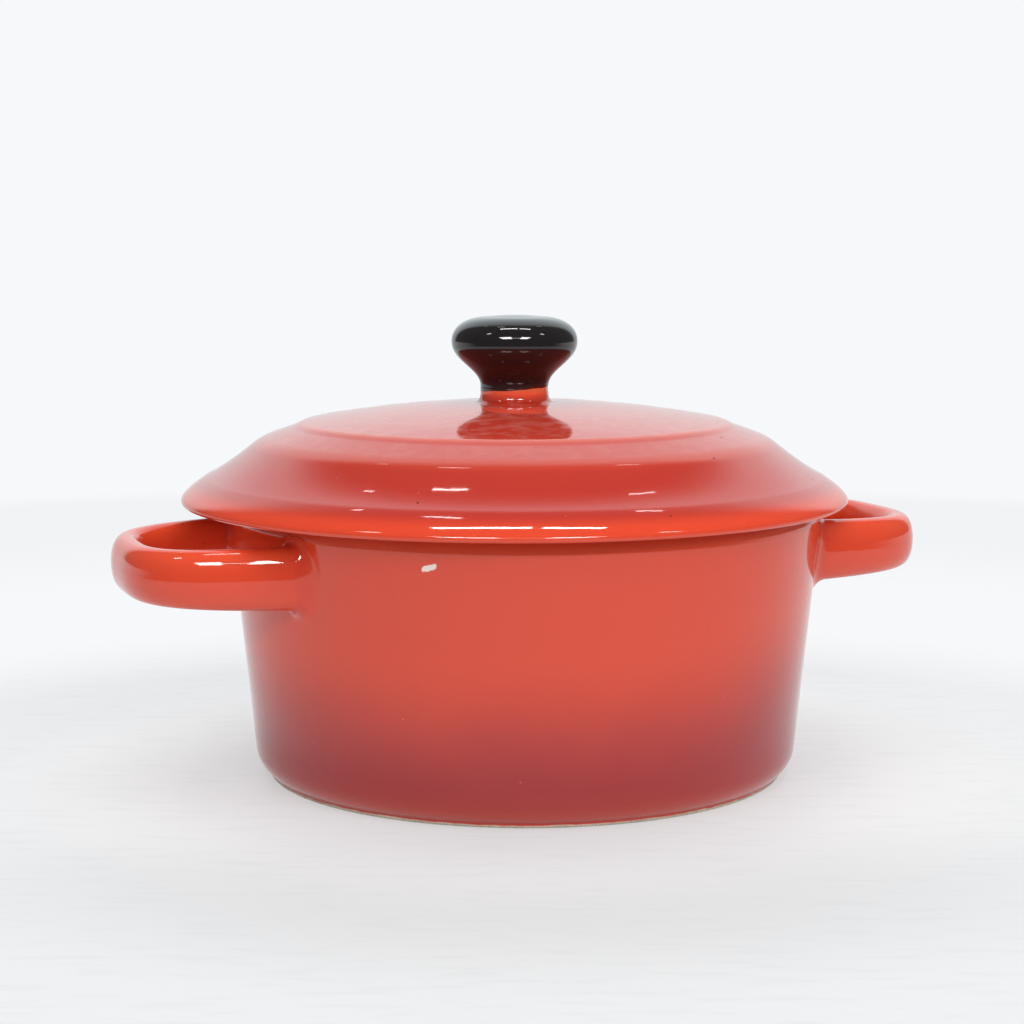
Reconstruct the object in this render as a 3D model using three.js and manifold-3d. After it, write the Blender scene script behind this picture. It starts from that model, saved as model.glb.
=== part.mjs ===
// A single-portion casserole in glazed stoneware: a tapered round bowl with two loop handles, and a stepped
// domed lid with a mushroom knob.
// Millimetres, +Z up, the handles along X, origin under the middle of the foot.
import * as THREE from "three";
import { mergeVertices } from "three/addons/utils/BufferGeometryUtils.js";
import Module from "manifold-3d";

// Bowl
const BASE_RADIUS = 45.85; // the outer wall's line carried down to the table
const RIM_RADIUS = 50.65; // the same line carried up to the rim
const BOWL_HEIGHT = 47;
const WALL = 4.6;
const FLOOR = 5;
const BASE_CORNER = 5; // rounding between wall and base
const FLOOR_CORNER = 7; // rounding inside, between wall and floor
const RIM_OUTER_ROUND = 2.4;
const RIM_INNER_ROUND = 1.4;
const FOOT_SETBACK = 1.85; // from the wall's line in to the foot ring's outer edge
const FOOT_WIDTH = 4.4; // flat of the unglazed foot ring
const FOOT_RECESS = 1.2; // hollow under the base, inside the ring
const RECESS_SLOPE = 1.6; // width of the slope between ring and hollow

// Handles
const HANDLE_REACH = 20.7; // from the wall to the outermost point of the loop
const HANDLE_WIDTH = 44.5; // across the loop, outside
const HANDLE_SQUARENESS = 3.1; // 2 is an ellipse in plan, more is squarer
const HANDLE_THICKNESS = 5.2; // of the strand at the loop's end
const HANDLE_HEIGHT = 9;
const ROOT_THICKNESS = 6.2; // of the strand where it reaches the wall
const ROOT_HEIGHT = 10.8;
const HANDLE_SECTION = 2.7; // 2 is an oval section, more is squarer
const HANDLE_DROP = 9.1; // from the rim down to the handle's middle
const ROOT_FILLET = 1.6; // clay worked round each root
const LUTING_GAP = 0.3; // between each root and the wall it is stuck to

// Lid
const LID_OVERHANG = 5.85; // beyond the rim
const LIP_DROP = 0.55; // the edge hangs this far below the seat
const LIP_WIDTH = 3.4; // drooping part of the edge, outside the flat seat
const EDGE_ROUND = 0.9; // lower corner of the edge
const EDGE_HEIGHT = 0.1; // from the seat up to the widest ring
const SHOULDER_INSET = 2.45; // from the widest ring in to the top of the edge
const SHOULDER_HEIGHT = 2.75; // from the seat up to it
const HOLLOW_INSET = 5.7; // from the widest ring in to where the skirt's lower and upper slopes would meet
const HOLLOW_HEIGHT = 4.2;
const SKIRT_INSET = 13.2; // from the widest ring in to the top of the hollow skirt
const SKIRT_HEIGHT = 10.15;
const LEDGE_WIDTH = 5.8; // gently sloping ledge between skirt and crown
const LEDGE_RISE = 2.05;
const STEP_WIDTH = 1.3; // small step up to the crown
const STEP_RISE = 0.7;
const CROWN_RISE = 3.3; // dome of the crown, from the step to the middle
const LID_THICKNESS = 4.8;
const RING_WIDTH = 4.2; // locating ring that drops into the bowl's mouth
const RING_DEPTH = 4;
const RING_CHAMFER = 0.8;
const UNDER_SPRING = 3; // straight inner side of the ring, above the seat
const UNDER_FULLNESS = 0.6; // share of the hollow's radius over which it stays nearly level
const LID_PLAY = 2.3; // between the locating ring and the mouth when the lid is centred
const LID_REST_GAP = 0.35; // left on the side towards which the lid was put down

// Knob
const NECK_RADIUS = 5.8;
const BOSS_RISE = 2.4; // stem that belongs to the lid, from the crown to the joint
const BOSS_FILLET = 1.4;
const NECK_HEIGHT = 1; // knob's straight neck above the joint
const KNOB_RADIUS = 10.7;
const KNOB_FLARE = 6.7; // from the neck up to the widest ring
const KNOB_CAP = 4.5; // from the widest ring up to the top
const KNOB_FLAT = 4.4; // radius of the almost flat top
const KNOB_CROWN = 0.25; // rise of that top to its middle
const NECK_PULL = 0.37; // share of the flare's height over which it still follows the neck
const BRIM_PULL = 0.45; // share of the flare's height over which it already follows the brim
const CAP_PULL = 0.6; // the same for the cap, at its brim and at its flat top

// Facets
const BOWL_SIDES = 64;
const LID_SIDES = 64;
const KNOB_SIDES = 36;
const ARC_STEPS = 4;
const CURVE_STEPS = 4;
const LOOP_STEPS = 36;
const SECTION_STEPS = 16;
const WELD = 1e-4; // points nearer than this are one

const RED_GLAZE = { color: 0xc9301c, roughness: 0.12, metalness: 0 };
const BLACK_GLAZE = { color: 0x120b0b, roughness: 0.1, metalness: 0 };

// Lines of the bowl's wall
const taper = (RIM_RADIUS - BASE_RADIUS) / BOWL_HEIGHT;
const lean = Math.atan(taper);
const wallRadius = (z) => BASE_RADIUS + taper * z;
const innerRadius = (z) => wallRadius(z) - WALL;
const acrossLean = Math.hypot(1, taper); // horizontal distance to a wall for each unit square to it

const wasm = await Module();
wasm.setup();

// A geometry as a solid for joining and cutting.
function solid(geometry) {
  const bare = new THREE.BufferGeometry().setAttribute("position", geometry.getAttribute("position"));
  bare.setIndex(geometry.index);
  const merged = mergeVertices(bare, WELD);
  return new wasm.Manifold(
    new wasm.Mesh({
      numProp: 3,
      vertProperties: merged.getAttribute("position").array,
      triVerts: new Uint32Array(merged.index.array),
    }),
  );
}

function geometryOf(manifold) {
  const mesh = manifold.getMesh();
  const geometry = new THREE.BufferGeometry();
  geometry.setAttribute("position", new THREE.BufferAttribute(mesh.vertProperties, 3));
  geometry.setIndex(new THREE.BufferAttribute(mesh.triVerts, 1));
  geometry.computeVertexNormals();
  return geometry;
}

// A profile of radius and height, from the axis round to the axis again, turned about Z.
function turned(profile, sides) {
  return new THREE.LatheGeometry(profile, sides).rotateX(Math.PI / 2);
}

// Points of an arc about a centre, both ends included.
function arc(r, z, radius, from, to, steps = ARC_STEPS) {
  const points = [];
  for (let i = 0; i <= steps; i++) {
    const angle = from + ((to - from) * i) / steps;
    points.push(new THREE.Vector2(r + radius * Math.cos(angle), z + radius * Math.sin(angle)));
  }
  return points;
}

const point = (r, z) => new THREE.Vector2(r, z);

// Outside of the bowl from the foot's edge to the rim, moved out by a gap.
function bowlOutside(gap = 0) {
  const base = BASE_RADIUS + gap * acrossLean;
  const cornerRadius = base + taper * BASE_CORNER - BASE_CORNER * acrossLean;
  const footRadius = BASE_RADIUS - FOOT_SETBACK + gap;
  const footAngle = -Math.acos((footRadius - cornerRadius) / BASE_CORNER);
  const rimHeight = BOWL_HEIGHT - RIM_OUTER_ROUND;
  const rimRadius = base + taper * rimHeight - RIM_OUTER_ROUND * acrossLean;
  return [
    point(footRadius, 0),
    ...arc(cornerRadius, BASE_CORNER, BASE_CORNER, footAngle, -lean),
    ...arc(rimRadius, rimHeight, RIM_OUTER_ROUND, -lean, Math.PI / 2),
  ];
}

function bowlGeometry() {
  const footInner = BASE_RADIUS - FOOT_SETBACK - FOOT_WIDTH;
  const mouthHeight = BOWL_HEIGHT - RIM_INNER_ROUND;
  const mouthRadius = innerRadius(mouthHeight) + RIM_INNER_ROUND * acrossLean;
  const cornerHeight = FLOOR + FLOOR_CORNER;
  const cornerRadius = innerRadius(cornerHeight) - FLOOR_CORNER * acrossLean;
  return turned(
    [
      point(0, FOOT_RECESS),
      point(footInner - RECESS_SLOPE, FOOT_RECESS),
      point(footInner, 0),
      ...bowlOutside(),
      ...arc(mouthRadius, mouthHeight, RIM_INNER_ROUND, Math.PI / 2, Math.PI - lean),
      ...arc(cornerRadius, cornerHeight, FLOOR_CORNER, -lean, -Math.PI / 2),
      point(0, FLOOR),
    ],
    BOWL_SIDES,
  );
}

// The wall as a full solid, a gap larger, which trims what is stuck to it.
function bowlTrimmer() {
  return solid(turned([point(0, 0), ...bowlOutside(LUTING_GAP), point(0, BOWL_HEIGHT)], BOWL_SIDES));
}

// Lines of a handle: its middle height, and how far out its middle line starts, inside the wall, and ends
const handleMiddle = BOWL_HEIGHT - HANDLE_DROP;
const handleWall = wallRadius(handleMiddle);
const handleHalf = (HANDLE_WIDTH - HANDLE_THICKNESS) / 2;
const handleStart = Math.sqrt(handleWall ** 2 - (HANDLE_WIDTH / 2) ** 2) - ROOT_THICKNESS;
const handleEnd = handleWall + HANDLE_REACH - HANDLE_THICKNESS / 2;

// Plan of a handle's middle line: half a squared ellipse from root to root.
class HandleLoop extends THREE.Curve {
  getPoint(share, target = new THREE.Vector3()) {
    const angle = Math.PI * share;
    const power = 2 / HANDLE_SQUARENESS;
    const out = Math.sin(angle) ** power;
    const across = Math.sign(Math.cos(angle)) * Math.abs(Math.cos(angle)) ** power;
    return target.set(handleStart + (handleEnd - handleStart) * out, across * handleHalf, handleMiddle);
  }
}

// How far a root spreads at a given distance from the wall: a quarter circle that ends along the wall.
function rootSpread(distance) {
  const depth = THREE.MathUtils.clamp(ROOT_FILLET - distance, 0, ROOT_FILLET);
  return ROOT_FILLET - Math.sqrt(ROOT_FILLET ** 2 - depth ** 2);
}

// One ring of the handle's skin: a squared oval that grows towards the wall and spreads where it meets it.
function handleRing(loop, share) {
  const middle = loop.getPointAt(share);
  const along = loop.getTangentAt(share);
  const across = new THREE.Vector3(-along.y, along.x, 0);
  const inward = (handleEnd - middle.x) / (handleEnd - handleStart);
  const thickness = THREE.MathUtils.lerp(HANDLE_THICKNESS, ROOT_THICKNESS, inward);
  const height = THREE.MathUtils.lerp(HANDLE_HEIGHT, ROOT_HEIGHT, inward);
  const power = 2 / HANDLE_SECTION;
  const ring = [];
  for (let i = 0; i < SECTION_STEPS; i++) {
    const angle = (2 * Math.PI * i) / SECTION_STEPS;
    const side = Math.sign(Math.cos(angle)) * Math.abs(Math.cos(angle)) ** power;
    const rise = Math.sign(Math.sin(angle)) * Math.abs(Math.sin(angle)) ** power;
    const place = (spread) =>
      middle
        .clone()
        .addScaledVector(across, side * (thickness / 2 + spread))
        .add(new THREE.Vector3(0, 0, rise * (height / 2 + spread)));
    const plain = place(0);
    ring.push(place(rootSpread(Math.hypot(plain.x, plain.y) - wallRadius(plain.z))));
  }
  return ring;
}

// A closed skin over rings of equally many points, with a fan over each end.
function lofted(rings) {
  const count = rings[0].length;
  const positions = rings.flat().flatMap((p) => p.toArray());
  const indices = [];
  for (let i = 0; i + 1 < rings.length; i++) {
    for (let j = 0; j < count; j++) {
      const a = i * count + j;
      const b = i * count + ((j + 1) % count);
      indices.push(a, b, a + count, b, b + count, a + count);
    }
  }
  const last = (rings.length - 1) * count;
  for (let j = 1; j + 1 < count; j++) {
    indices.push(0, j + 1, j, last, last + j, last + j + 1);
  }
  const geometry = new THREE.BufferGeometry();
  geometry.setAttribute("position", new THREE.Float32BufferAttribute(positions, 3));
  geometry.setIndex(indices);
  return geometry;
}

function handleGeometry() {
  const loop = new HandleLoop();
  const rings = [];
  for (let i = 0; i <= LOOP_STEPS; i++) {
    rings.push(handleRing(loop, i / LOOP_STEPS));
  }
  return geometryOf(solid(lofted(rings)).subtract(bowlTrimmer()));
}

// Heights and radii of the lid, above its seat on the rim
const lidRadius = RIM_RADIUS + LID_OVERHANG;
const ringOuter = innerRadius(BOWL_HEIGHT - RING_DEPTH) - LID_PLAY;
const shoulder = point(lidRadius - SHOULDER_INSET, SHOULDER_HEIGHT);
const hollow = point(lidRadius - HOLLOW_INSET, HOLLOW_HEIGHT);
const skirtTop = point(lidRadius - SKIRT_INSET, SKIRT_HEIGHT);
const ledgeTop = point(skirtTop.x - LEDGE_WIDTH, skirtTop.y + LEDGE_RISE);
const crownEdge = point(ledgeTop.x - STEP_WIDTH, ledgeTop.y + STEP_RISE);
const crownTop = crownEdge.y + CROWN_RISE;
const crownHeight = (r) => crownTop - CROWN_RISE * (r / crownEdge.x) ** 2;

function lidGeometry() {
  const outline = new THREE.Path();
  const ringInner = ringOuter - RING_WIDTH;
  const underTop = crownTop - LID_THICKNESS;
  const footSlope = (hollow.y - shoulder.y) / (shoulder.x - hollow.x);
  const rollHeight = SHOULDER_HEIGHT - SHOULDER_INSET * footSlope;
  const bossFoot = NECK_RADIUS + BOSS_FILLET;
  // Underside: a dome inside the locating ring, the ring, and the flat seat
  outline.moveTo(0, underTop);
  outline.bezierCurveTo(
    ringInner * UNDER_FULLNESS,
    underTop,
    ringInner,
    (underTop + UNDER_SPRING) / 2,
    ringInner,
    UNDER_SPRING,
  );
  outline.lineTo(ringInner, RING_CHAMFER - RING_DEPTH);
  outline.lineTo(ringInner + RING_CHAMFER, -RING_DEPTH);
  outline.lineTo(ringOuter - RING_CHAMFER, -RING_DEPTH);
  outline.lineTo(ringOuter, RING_CHAMFER - RING_DEPTH);
  outline.lineTo(ringOuter, 0);
  outline.lineTo(lidRadius - LIP_WIDTH, 0);
  // Edge: it droops a little, turns round its lower corner to the widest ring and rolls in to the skirt
  outline.lineTo(lidRadius - LIP_WIDTH / 2, -LIP_DROP);
  outline.lineTo(lidRadius - EDGE_ROUND, -LIP_DROP);
  outline.quadraticCurveTo(lidRadius, -LIP_DROP, lidRadius, EDGE_HEIGHT);
  outline.quadraticCurveTo(lidRadius, rollHeight, shoulder.x, shoulder.y);
  // Top: hollow skirt, ledge, step and crown
  outline.quadraticCurveTo(hollow.x, hollow.y, skirtTop.x, skirtTop.y);
  outline.lineTo(ledgeTop.x, ledgeTop.y);
  outline.lineTo(crownEdge.x, crownEdge.y);
  outline.quadraticCurveTo(
    (crownEdge.x + bossFoot) / 2,
    crownTop - (CROWN_RISE * bossFoot) / crownEdge.x,
    bossFoot,
    crownHeight(bossFoot),
  );
  // Boss for the knob
  outline.quadraticCurveTo(NECK_RADIUS, crownHeight(NECK_RADIUS), NECK_RADIUS, crownTop + BOSS_FILLET);
  outline.lineTo(NECK_RADIUS, crownTop + BOSS_RISE);
  outline.lineTo(0, crownTop + BOSS_RISE);
  return turned(outline.getPoints(CURVE_STEPS), LID_SIDES);
}

// Height zero is the joint with the lid's boss.
function knobGeometry() {
  const widest = NECK_HEIGHT + KNOB_FLARE;
  const top = widest + KNOB_CAP;
  const outline = new THREE.Path();
  outline.moveTo(0, 0);
  outline.lineTo(NECK_RADIUS, 0);
  outline.lineTo(NECK_RADIUS, NECK_HEIGHT);
  outline.bezierCurveTo(
    NECK_RADIUS,
    NECK_HEIGHT + KNOB_FLARE * NECK_PULL,
    KNOB_RADIUS,
    widest - KNOB_FLARE * BRIM_PULL,
    KNOB_RADIUS,
    widest,
  );
  outline.bezierCurveTo(
    KNOB_RADIUS,
    widest + KNOB_CAP * CAP_PULL,
    KNOB_FLAT + (KNOB_RADIUS - KNOB_FLAT) * CAP_PULL,
    top - KNOB_CROWN,
    KNOB_FLAT,
    top - KNOB_CROWN,
  );
  outline.lineTo(0, top);
  return turned(outline.getPoints(CURVE_STEPS), KNOB_SIDES);
}

function piece(name, geometry, finish) {
  const mesh = new THREE.Mesh(geometry, new THREE.MeshStandardMaterial(finish));
  mesh.name = name;
  return mesh;
}

const pot = new THREE.Group();
pot.add(piece("bowl", bowlGeometry(), RED_GLAZE));
const handle = handleGeometry();
pot.add(piece("right_handle", handle, RED_GLAZE));
const leftHandle = piece("left_handle", handle, RED_GLAZE);
leftHandle.rotation.z = Math.PI;
pot.add(leftHandle);

// The lid lies on the rim, pushed towards the left handle as far as its locating ring lets it.
const lid = new THREE.Group();
lid.position.set(LID_REST_GAP - LID_PLAY, 0, BOWL_HEIGHT);
lid.add(piece("lid", lidGeometry(), RED_GLAZE));
const knob = piece("knob", knobGeometry(), BLACK_GLAZE);
knob.position.z = crownTop + BOSS_RISE;
lid.add(knob);

const casserole = new THREE.Group();
casserole.add(pot, lid);

export default casserole;
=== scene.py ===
"""A single-portion casserole in red glazed stoneware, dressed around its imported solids, and its stage.

Lengths are metres. The frame says where each piece stands, and the properties below give its other sizes.
"""

import math

import bpy
import numpy as np
from bpy.props import FloatProperty, FloatVectorProperty, IntProperty, PointerProperty
from bpy.types import Operator, Panel, PropertyGroup
from mathutils import Euler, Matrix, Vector


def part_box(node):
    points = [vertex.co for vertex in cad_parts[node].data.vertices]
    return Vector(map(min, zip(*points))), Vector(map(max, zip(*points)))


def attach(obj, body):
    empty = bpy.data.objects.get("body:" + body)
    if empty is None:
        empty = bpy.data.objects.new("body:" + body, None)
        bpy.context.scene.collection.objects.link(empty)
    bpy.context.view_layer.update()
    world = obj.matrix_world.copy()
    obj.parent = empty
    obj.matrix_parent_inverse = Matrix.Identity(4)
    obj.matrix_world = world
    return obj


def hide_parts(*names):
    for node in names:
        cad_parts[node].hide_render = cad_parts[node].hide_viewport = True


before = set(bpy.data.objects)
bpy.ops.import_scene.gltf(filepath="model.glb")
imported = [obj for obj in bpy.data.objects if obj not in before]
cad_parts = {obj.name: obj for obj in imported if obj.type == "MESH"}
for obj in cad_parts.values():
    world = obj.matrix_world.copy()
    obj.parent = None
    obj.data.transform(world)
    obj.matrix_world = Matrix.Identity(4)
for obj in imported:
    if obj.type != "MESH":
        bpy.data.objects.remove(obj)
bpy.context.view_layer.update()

bl_info = {
    "name": "Stoneware casserole",
    "version": (1, 0, 0),
    "blender": (4, 5, 0),
    "location": "View3D > Sidebar > Casserole",
    "description": "Builds a glazed single-portion casserole and the stage it stands on",
    "category": "Object",
}

BOWL_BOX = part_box("bowl")
LID_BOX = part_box("lid")
KNOB_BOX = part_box("knob")

# Points on an arc, on a curve and along a handle, and the longest side of a profile and of the knob's
ARC_POINTS = 12
CURVE_POINTS = 24
LOOP_SAMPLES = 6000
LONGEST_SIDE = 0.0018
LONGEST_KNOB_SIDE = 0.0006

# A length that counts as none, the bevel of a sharp joint, and the blur between two glazes
TINY = 1e-9
CRISP = 0.00004
GLAZE_EDGE = 0.0006

# Width along a profile in which a bend shows in the glaze, and the roughness that bare clay adds
BEND_REACH = 0.0005
CLAY_ROUGHNESS = 0.7

# Waves of the black glaze's lower edge: how many go round the stem, where they start, and their share
DIP_WAVES = ((2, 0.6, 0.5), (5, 2.1, 0.3), (9, 0.0, 0.2))

# Millimetres in a metre, and a turn in radians
MILLIMETRES = 1000.0
FULL_TURN = 2 * math.pi


def length(name, description, default):
    """A property that holds a length in metres."""
    return FloatProperty(name=name, description=description, default=default, unit="LENGTH", precision=5)


def tint(name, description, default):
    """A property that holds a colour."""
    return FloatVectorProperty(
        name=name, description=description, default=default, subtype="COLOR", size=3, min=0.0, max=1.0
    )


def number(name, description, default, least=0.0):
    """A property that holds a plain number."""
    return FloatProperty(name=name, description=description, default=default, min=least)


def degrees(name, description, default):
    """A property that holds an angle, given here in degrees."""
    return FloatProperty(name=name, description=description, default=math.radians(default), subtype="ANGLE")


def steps(name, description, default, least):
    """A property that holds a number of steps."""
    return IntProperty(name=name, description=description, default=default, min=least)


class BowlSizes(PropertyGroup):
    """Sizes of the bowl."""

    height: length("Height", "From the table to the rim", BOWL_BOX[1].z)
    base_radius: length("Base radius", "The outer wall's line carried down to the table", 0.04585)
    rim_radius: length("Rim radius", "The outer wall's line carried up to the rim", 0.05065)
    wall: length("Wall", "Thickness of the wall", 0.0046)
    floor: length("Floor", "Height of the floor inside", 0.005)
    base_corner: length("Base corner", "Rounding between wall and base", 0.005)
    floor_corner: length("Floor corner", "Rounding inside, between wall and floor", 0.007)
    rim_outer: length("Rim, outside", "Rounding of the rim's outer edge", 0.0031)
    rim_inner: length("Rim, inside", "Rounding of the rim's inner edge", 0.0014)
    foot_setback: length("Foot setback", "From the wall's line in to the foot ring", 0.00185)
    foot_width: length("Foot width", "Flat of the foot ring", 0.0044)
    foot_recess: length("Foot recess", "Hollow under the base", 0.0012)
    recess_slope: length("Recess slope", "Width of the slope from the foot ring to the hollow", 0.0016)
    foot_edge: length("Foot edge", "Rounding of the foot ring's edges", 0.0004)
    # The maroon band's top is lowest on one side of the bowl and highest on the opposite side.
    tide: length("Tide", "How much higher the foot's darker glaze reaches on the far side", 0.0065)
    spray_turn: degrees("Spray turn", "Side where that glaze is lowest", -124)
    chip_height: length("Chip height", "Of a small chip in the glaze over the table", 0.0415)
    chip_width: length("Chip width", "Of that chip", 0.0027)
    chip_turn: degrees("Chip turn", "Of that chip about Z", -127.3)
    sides: steps("Sides", "Steps round the bowl", 288, 24)


class HandleSizes(PropertyGroup):
    """Sizes of a loop handle."""

    reach: length("Reach", "From the wall to the loop's outermost point", 0.02069)
    width: length("Width", "Across the loop, outside", 0.0445)
    thickness: length("Thickness", "Of the strand at the loop's end", 0.0052)
    height: length("Height", "Of the strand at the loop's end", 0.009)
    root_thickness: length("Root thickness", "Of the strand where it reaches the wall", 0.0062)
    root_height: length("Root height", "Of the strand where it reaches the wall", 0.0108)
    drop: length("Drop", "From the rim down to the handle's middle", 0.0091)
    fillet_outer: length("Fillet outside", "Clay worked round the outer side of a root", 0.002)
    fillet_inner: length("Fillet inside", "Clay worked round the inner side of a root", 0.0018)
    fillet_above: length("Fillet above", "Clay worked round the top of a root", 0.0009)
    fillet_under: length("Fillet below", "Clay worked round the underside of a root", 0.0022)
    sink: length("Sink", "How deep a root's edge lies under the wall's skin", 0.00003)
    squareness: number("Squareness", "2 is an ellipse in plan", 3.1, 2.0)
    section: number("Section", "2 is an oval section", 2.35, 2.0)
    rows: steps("Rows", "Steps along the loop", 220, 24)
    sides: steps("Sides", "Steps round the section", 72, 12)


class LidSizes(PropertyGroup):
    """Sizes of the lid, with heights above its seat on the rim."""

    radius: length("Radius", "Of the widest ring", (LID_BOX[1].y - LID_BOX[0].y) / 2)
    axis: length("Axis", "How far towards +X its middle lies", (LID_BOX[1].x + LID_BOX[0].x) / 2)
    lip_drop: length("Lip drop", "The edge hangs this far below the seat", 0.00055)
    lip_width: length("Lip width", "Drooping part of the edge", 0.0034)
    edge_round: length("Edge round", "Lower corner of the edge", 0.0009)
    edge_height: length("Edge height", "From the seat up to the widest ring", 0.0001)
    edge_roll: length("Edge roll", "From the seat up to where the edge's slopes would meet", 0.0012)
    shoulder_inset: length("Shoulder inset", "From the widest ring in to the top of the edge", 0.00415)
    shoulder_height: length("Shoulder height", "From the seat up to the top of the edge", 0.00387)
    hollow_inset: length("Hollow inset", "From the widest ring in to where the skirt's slopes meet", 0.0069)
    hollow_height: length("Hollow height", "From the seat up to where the skirt's slopes meet", 0.00515)
    skirt_inset: length("Skirt inset", "From the widest ring in to the top of the skirt", 0.0132)
    skirt_height: length("Skirt height", "From the seat up to the top of the skirt", 0.01015)
    ledge_width: length("Ledge width", "Ledge between skirt and crown", 0.0058)
    ledge_rise: length("Ledge rise", "From the skirt up to the step", 0.00205)
    step_width: length("Step width", "Small step up to the crown", 0.0013)
    step_rise: length("Step rise", "Height of that step", 0.0007)
    crown_rise: length("Crown rise", "From the step up to the middle", 0.0033)
    thickness: length("Thickness", "Of the lid in its middle", 0.0048)
    ring_outer: length("Ring radius", "Outside of the locating ring", 0.043342)
    ring_width: length("Ring width", "Of the locating ring", 0.0042)
    ring_depth: length("Ring depth", "From the seat down to the ring's end", 0.004)
    ring_round: length("Ring round", "Rounding of the ring's edges", 0.0008)
    under_spring: length("Under spring", "Straight inner side of the ring above the seat", 0.003)
    ridge_round: length("Ridge round", "Rounding of the skirt's upper edge", 0.0095)
    step_round: length("Step round", "Rounding of the small step", 0.0042)
    boss_radius: length("Boss radius", "Of the stem under the knob", 0.0058)
    boss_fillet: length("Boss fillet", "Between the crown and the stem", 0.0014)
    sides: steps("Sides", "Steps round the lid", 288, 24)


class KnobSizes(PropertyGroup):
    """Sizes of the knob, with heights above its joint with the lid's boss."""

    radius: length("Radius", "Of the widest ring", (KNOB_BOX[1].y - KNOB_BOX[0].y) / 2)
    joint: length("Joint", "Height of the joint with the boss", KNOB_BOX[0].z)
    top: length("Top", "Height of the knob's top", KNOB_BOX[1].z)
    neck_radius: length("Neck radius", "Of the straight neck", 0.0058)
    neck_height: length("Neck height", "Of the straight neck", 0.0003)
    flare: length("Flare", "From the neck up to the widest ring", 0.0074)
    flat: length("Flat", "Radius of the almost flat top", 0.0044)
    crown: length("Crown", "Rise of the flat top to its middle", 0.00025)
    dip_height: length("Dip height", "Middle height of the black glaze's lower edge", 0.0654)
    dip_slope: number("Dip slope", "Rise of that edge to the right", 0.085, -1.0)
    dip_wave: length("Dip wave", "How far that edge runs up and down", 0.00014)
    coat: length("Coat", "How far the black glaze stands proud of the stem", 0.00012)
    sides: steps("Sides", "Steps round the knob", 160, 24)


class GlazeColours(PropertyGroup):
    """Colours of the glazes and the clay."""

    red: tint("Red", "Red glaze at its brightest", (0.70, 0.058, 0.021))
    maroon: tint("Maroon", "Red glaze at the foot", (0.36, 0.018, 0.019))
    # The crown, ledge and skirt tones are the red glaze painted darker, as painted shade on faces that look
    # up.
    crown: tint("Crown", "Red glaze on the lid's crown", (0.52, 0.043, 0.025))
    ledge: tint("Ledge", "Red glaze on the lid's ledge", (0.52, 0.042, 0.023))
    skirt: tint("Skirt", "Red glaze on the lid's skirt", (0.46, 0.032, 0.019))
    # The stem's tone is painted lighter, as painted light under the knob's shadow.
    stem: tint("Stem", "Red glaze on the stem under the knob", (0.95, 0.100, 0.042))
    thin: tint("Thin", "Red glaze where it thins over an edge", (0.84, 0.16, 0.06))
    pool: tint("Pool", "Red glaze where it gathers in a hollow", (0.45, 0.022, 0.012))
    speck: tint("Speck", "Dark specks in the glaze", (0.05, 0.015, 0.01))
    black: tint("Black", "Black glaze", (0.009, 0.007, 0.0075))
    overlap: tint("Overlap", "Black glaze where it thins over the red", (0.05, 0.008, 0.006))
    cream: tint("Cream", "Glaze inside", (0.80, 0.74, 0.62))
    clay: tint("Clay", "Bare clay of the foot", (0.66, 0.55, 0.41))
    # On the lid this colour also stands for a painted sheen, which grows at a slant.
    dust: tint("Dust", "Dust and fine scratches", (0.80, 0.66, 0.62))
    chip: tint("Chip", "Clay in a chip", (0.86, 0.78, 0.72))


class StageSettings(PropertyGroup):
    """Floor, light and camera."""

    turn: degrees("Turn", "Of the camera about Z", -20.0)
    pitch: degrees("Pitch", "Of the camera downwards", 7.185)
    distance: length("Distance", "From the camera to the axis, level", 0.408)
    aside: length("Aside", "Of the camera to its left", 0.00226)
    height: length("Height", "Of the camera over the table", 0.0955)
    lens: number("Lens", "Focal length on a 36 mm sensor, in mm", 84.375)
    floor: tint("Floor", "Colour of the floor", (0.68, 0.70, 0.70))
    # Painted light: the floor is lighter close to the object, which thins its shadow there.
    floor_near: tint("Floor, near", "Colour of the floor close to the object", (0.80, 0.825, 0.825))
    backdrop: tint("Backdrop", "Colour behind the object", (0.925, 0.942, 0.962))
    cool: tint("Cool", "Colour of the bright side at the back", (0.88, 0.97, 1.0))
    lift: number("Lift", "Share of the backdrop's colour in the whole floor", 0.48)
    sky: number("Sky", "Strength of the soft light all round", 0.36)
    strip: number("Strip", "Brightness of the wide front lamp, white being 1", 8.9)
    key: number("Key", "Brightness of the lamp at the right, white being 1", 1.25)
    top: number("Top", "Brightness of the lamp overhead, white being 1", 3.2)
    sheen: number("Sheen", "Brightness of the lamp behind, white being 1", 0.35)
    opening: number("Opening", "Brightness of the bright side at the back", 1.25)
    tube: number("Tube", "Brightness of the ceiling tubes, white being 1", 22.0)
    hood: number("Hood", "Brightness of the dim room", 0.18)
    ceiling: length("Ceiling", "Height of the ceiling tubes", 1.5)


class Casserole(PropertyGroup):
    """All that can be set."""

    bowl: PointerProperty(type=BowlSizes)
    handles: PointerProperty(type=HandleSizes)
    lid: PointerProperty(type=LidSizes)
    knob: PointerProperty(type=KnobSizes)
    glaze: PointerProperty(type=GlazeColours)
    stage: PointerProperty(type=StageSettings)


# Profiles


def arc(radius, height, size, start, end):
    """Points of a circle about (radius, height), from the angle start to the angle end."""
    angle = np.linspace(start, end, ARC_POINTS)
    return np.stack([radius + size * np.cos(angle), height + size * np.sin(angle)], axis=-1)


def bezier(*controls):
    """Points of a Bezier curve: repeated straight mixing of neighbouring control points."""
    share = np.linspace(0.0, 1.0, CURVE_POINTS)[:, None]
    layer = [np.asarray(control, float) for control in controls]
    while len(layer) > 1:
        layer = [first + (second - first) * share for first, second in zip(layer, layer[1:])]
    return layer[0]


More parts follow.
